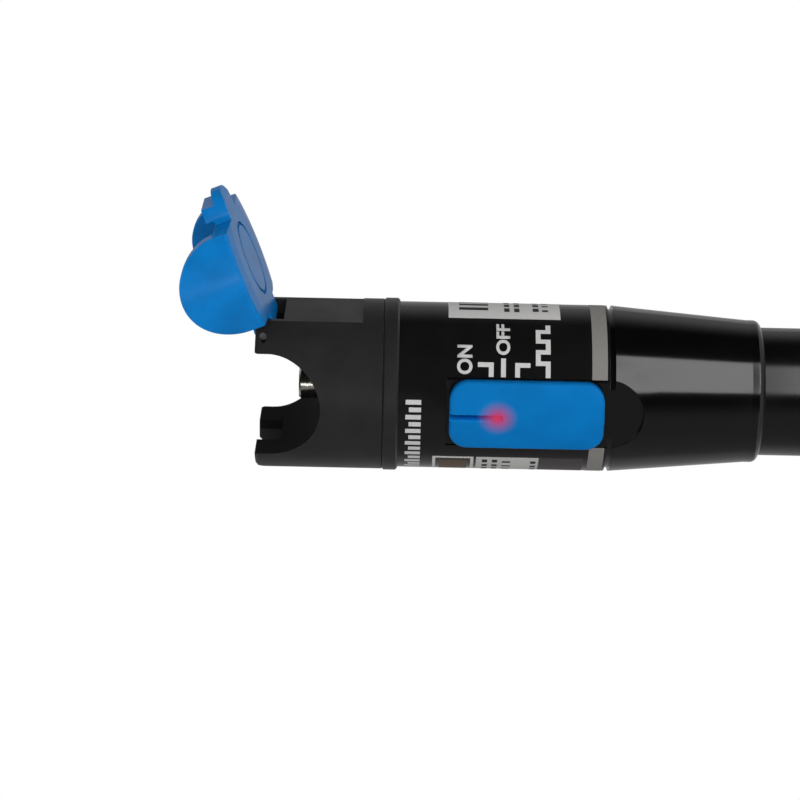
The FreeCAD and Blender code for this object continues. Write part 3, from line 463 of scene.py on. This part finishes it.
def line_round(turn_low, turn_high, below):
    """A line round the label, centred on a distance below the head's front."""
    return (turn_low, turn_high, below - LINE / 2, below + LINE / 2)


def frame_of(turn_low, turn_high, below_near, below_far, line):
    """Four thin rectangles that outline a field."""
    line_turn = math.degrees(line / LABEL_RADIUS)
    return [
        (turn_low, turn_high, below_near, below_near + line),
        (turn_low, turn_high, below_far - line, below_far),
        (turn_low, turn_low + line_turn, below_near + line, below_far - line),
        (turn_high - line_turn, turn_high, below_near + line, below_far - line),
    ]


def pulse_wave(turn_start, pulse_turn, count, end_turn, below_low, below_high):
    """Square wave round the label with a straight end, the sign for blinking light."""
    strokes = []
    for index in range(count):
        rise = turn_start + (2 * index + 1) * pulse_turn
        fall = rise + pulse_turn
        strokes += [
            (rise - pulse_turn, rise + LINE_TURN, below_low - LINE, below_low),
            (rise, rise + LINE_TURN, below_high + LINE, below_low - LINE),
            (rise, fall + LINE_TURN, below_high, below_high + LINE),
            (fall, fall + LINE_TURN, below_high + LINE, below_low - LINE),
        ]
    return strokes + [(fall, end_turn, below_low - LINE, below_low)]


def rows_of_marks(first_turn, turn_step, marks):
    """The same marks in each row. A mark has its two turns from the row's and two distances."""
    rows = [first_turn + row * turn_step for row in range(MARK_ROWS)]
    return [(turn + start, turn + end, near, far)
            for turn in rows for start, end, near, far in marks]


# The stripe at the label's rear edge, broken by the slide switch's pocket.
STRIPE_NEAR, STRIPE_FAR = 50.2 * MM, 52.5 * MM
print_rectangles("label_stripe", "grey",
                 [(POCKET_TURN, 360 - POCKET_TURN, STRIPE_NEAR, STRIPE_FAR)])

# The switch's three places: continuous light, off and blinking light, each with a pointer.
print_word("label_on", "ON", "white", 27.5, 48.5, 30.1 * MM, 32.4 * MM)
print_word("label_off", "OFF", "white", 41.5, 67, 35.9 * MM, 38.0 * MM)
SIGN_TURN, POINTER_TURN = 26, 36
ON_PLACE, OFF_PLACE, PULSE_PLACE = 35.2 * MM, 37.0 * MM, 39.1 * MM
ARM_TURNS = (POINTER_TURN - LINE_TURN, POINTER_TURN)
print_rectangles("label_pointers", "white", [
    line_round(SIGN_TURN, POINTER_TURN, ON_PLACE),
    (*ARM_TURNS, 33.2 * MM, ON_PLACE - LINE / 2),
    line_round(SIGN_TURN, POINTER_TURN + 3, OFF_PLACE),
    line_round(SIGN_TURN, POINTER_TURN, PULSE_PLACE),
    (*ARM_TURNS, PULSE_PLACE + LINE / 2, 41.0 * MM),
])
print_rectangles("label_pulse", "white", pulse_wave(
    SIGN_TURN, pulse_turn=8.2, count=2, end_turn=66.6, below_low=44.0 * MM, below_high=41.8 * MM))

# A row of plain bars beside the collar, longer and shorter in turn.
BARS_TURN, BAR_STEP, BAR_TURN = 9.5, 5.3, 3.3
BAR_TOPS, BAR_FOOT = (22.6 * MM, 23.1 * MM), 24.9 * MM
bars = []
for index in range(BAR_COUNT):
    end = BARS_TURN - index * BAR_STEP
    bars.append((end - BAR_TURN, end, BAR_TOPS[index % 2], BAR_FOOT))
print_rectangles("label_bars", "white", bars)

# The pale table of plain marks towards the hinge side, and the small fields on the other side.
TABLE = (73, 128, 28.8 * MM, 45.6 * MM)
print_rectangles("label_table", "white", [TABLE])
print_rectangles("label_table_marks", "dark", rows_of_marks(first_turn=84, turn_step=9, marks=[
    (0, 4.5, 30.4 * MM, 34.8 * MM),
    (-2, 4, 37.2 * MM, 38.0 * MM),
    (-2, 4, 38.7 * MM, 39.5 * MM),
    (-1, 4.5, 41.5 * MM, 42.4 * MM),
    (-1, 2, 42.9 * MM, 43.8 * MM),
]), layer=2)
FIELD_TURNS = (-84, -38)
TAN_FIELD = (-80, -43, 27.8 * MM, 32.0 * MM)
PALE_NEAR, PALE_FAR, ROSE_FAR = 33.4 * MM, 42.8 * MM, 49.5 * MM
print_rectangles("label_fields_outline", "white",
                 frame_of(*FIELD_TURNS, 26.8 * MM, 33.0 * MM, 0.45 * MM))
print_rectangles("label_field_tan", "tan", [TAN_FIELD])
print_rectangles("label_field_pale", "pale", [(*FIELD_TURNS, PALE_NEAR, PALE_FAR)])
print_rectangles("label_field_marks", "dark", rows_of_marks(first_turn=-46, turn_step=-8, marks=[
    (0, 4.5, 34.3 * MM, 35.1 * MM),
    (0, 4.5, 35.8 * MM, 36.6 * MM),
    (0, 2.5, 37.3 * MM, 38.6 * MM),
    (-1, 3, 41.6 * MM, 42.4 * MM),
]), layer=2)
print_rectangles("label_field_rose", "rose", [(*FIELD_TURNS, PALE_FAR, ROSE_FAR)])


# ---------------------------------------------------------------- studio

VIEW_TURN = math.radians(20.5)
VIEW_ROLL = math.radians(1.2)
TOWARDS_CAMERA = Vector((math.sin(VIEW_TURN), -math.cos(VIEW_TURN), 0))
ASIDE = Vector((math.cos(VIEW_TURN), math.sin(VIEW_TURN), 0))
AXIS = Vector((0, 0, 1))


def place_camera(below_front, above_axis, distance, focal_length):
    """Camera lying on its side: the head points to the picture's left and the cap upwards."""
    right = ASIDE * math.sin(VIEW_ROLL) - AXIS * math.cos(VIEW_ROLL)
    upward = ASIDE * math.cos(VIEW_ROLL) + AXIS * math.sin(VIEW_ROLL)
    target = AXIS * (HEAD_FRONT - below_front) - upward * above_axis
    data = bpy.data.cameras.new("camera")
    data.lens = focal_length
    data.clip_start, data.clip_end = 0.01, 10.0
    camera = bpy.data.objects.new("camera", data)
    scene.collection.objects.link(camera)
    turned = Matrix((right, upward, TOWARDS_CAMERA)).transposed().to_4x4()
    camera.matrix_world = Matrix.Translation(target + TOWARDS_CAMERA * distance) @ turned
    scene.camera = camera


def add_softbox(name, turn_degrees, height, distance, width, depth, power, target_height):
    """Area light at a turn round the axis: 0 is the camera's side, 90 the picture's top."""
    turn = math.radians(turn_degrees)
    outward = TOWARDS_CAMERA * math.cos(turn) + ASIDE * math.sin(turn)
    data = bpy.data.lights.new(name, "AREA")
    data.shape = "RECTANGLE"
    data.size, data.size_y = width, depth
    data.energy = power
    light = bpy.data.objects.new(name, data)
    scene.collection.objects.link(light)
    light.location = outward * distance + AXIS * height
    aim = (AXIS * target_height - light.location).normalized()
    light.rotation_mode = "QUATERNION"
    light.rotation_quaternion = aim.to_track_quat("-Z", "Y")
    return light


def white_for(nodes, links, ray_kinds):
    """1 for the given kinds of ray, else 0."""
    path = nodes.new("ShaderNodeLightPath")
    total = None
    for kind in ray_kinds:
        if total is None:
            total = path.outputs[kind]
            continue
        both = nodes.new("ShaderNodeMath")
        both.operation = "MAXIMUM"
        links.new(total, both.inputs[0])
        links.new(path.outputs[kind], both.inputs[1])
        total = both.outputs[0]
    return total


def make_world(soft_level, back_level, side_level):
    """White backdrop for the camera, dim even light on the object, and for gloss a white backdrop
    behind the object, a dark studio before it and a dim card under it in the picture."""
    world = bpy.data.worlds.new("studio")
    scene.world = world
    world.use_nodes = True
    nodes, links = world.node_tree.nodes, world.node_tree.links
    nodes.clear()

    def maths(operation, *inputs):
        made = nodes.new("ShaderNodeMath")
        made.operation = operation
        for socket, value in zip(made.inputs, inputs):
            if isinstance(value, bpy.types.NodeSocket):
                links.new(value, socket)
            else:
                socket.default_value = value
        return made.outputs[0]

    def facing(direction, start, end, level):
        """0 to the level as the ray's share along a direction goes from start to end."""
        along = nodes.new("ShaderNodeVectorMath")
        along.operation = "DOT_PRODUCT"
        links.new(nodes.new("ShaderNodeTexCoord").outputs["Generated"], along.inputs[0])
        along.inputs[1].default_value = direction
        ramp = nodes.new("ShaderNodeMapRange")
        ramp.interpolation_type = "SMOOTHSTEP"
        links.new(along.outputs["Value"], ramp.inputs["Value"])
        ramp.inputs["From Min"].default_value = start
        ramp.inputs["From Max"].default_value = end
        ramp.inputs["To Max"].default_value = level
        return ramp.outputs[0]

    gloss = maths("MAXIMUM", facing(-TOWARDS_CAMERA, 0.05, 0.6, back_level),
                  facing(-ASIDE, 0.3, 0.75, side_level))
    path = nodes.new("ShaderNodeLightPath")
    lit = maths("MULTIPLY_ADD", path.outputs["Is Glossy Ray"],
                maths("SUBTRACT", gloss, soft_level), soft_level)
    white = white_for(nodes, links, ["Is Camera Ray", "Is Transmission Ray"])
    background = nodes.new("ShaderNodeBackground")
    background.inputs["Color"].default_value = (1, 1, 1, 1)
    links.new(maths("MAXIMUM", lit, white), background.inputs["Strength"])
    links.new(background.outputs[0], nodes.new("ShaderNodeOutputWorld").inputs["Surface"])


def make_floor(radius):
    """Pale round floor under the tail cap, which fades to the white backdrop for the camera."""
    mesh = bpy.data.meshes.new("floor")
    disc = bmesh.new()
    bmesh.ops.create_circle(disc, cap_ends=True, segments=128, radius=radius)
    disc.to_mesh(mesh)
    disc.free()
    floor = bpy.data.objects.new("floor", mesh)
    scene.collection.objects.link(floor)
    made = Finish("floor")
    far = made.spread(from_axis(made), 0.25 * radius, 0.95 * radius)
    paper = made.blend(made.noise(30 * MM), (0.84, 0.84, 0.83, 1), (0.87, 0.87, 0.86, 1))
    made.bump(made.noise(1 * MM), 0.02 * MM)
    nodes, links = made.tree.nodes, made.tree.links
    seen = white_for(nodes, links, ["Is Camera Ray", "Is Glossy Ray", "Is Transmission Ray"])
    glow = nodes.new("ShaderNodeEmission")
    mixed = nodes.new("ShaderNodeMixShader")
    links.new(made.calc("MULTIPLY", far, seen), mixed.inputs[0])
    links.new(made.shader.outputs[0], mixed.inputs[1])
    links.new(glow.outputs[0], mixed.inputs[2])
    links.new(mixed.outputs[0], nodes["Material Output"].inputs["Surface"])
    mesh.materials.append(made.finish(paper, 0.8))


scene.view_settings.view_transform = "Standard"
place_camera(below_front=21.7 * MM, above_axis=2.48 * MM, distance=0.408, focal_length=120)
make_world(soft_level=0.5, back_level=0.45, side_level=0.3)
make_floor(radius=0.28)
add_softbox("key", turn_degrees=20.5, height=0.0355, distance=0.25, width=0.23, depth=0.061,
            power=0.24, target_height=0.0355)
front_fill = add_softbox("front_fill", turn_degrees=-10, height=0.26, distance=0.55, width=0.3,
                         depth=0.3, power=1.2, target_height=0.13)
front_fill.visible_glossy = False
add_softbox("cap_strip", turn_degrees=-20, height=0.195, distance=0.25, width=0.05, depth=0.03,
            power=0.035, target_height=0.185)
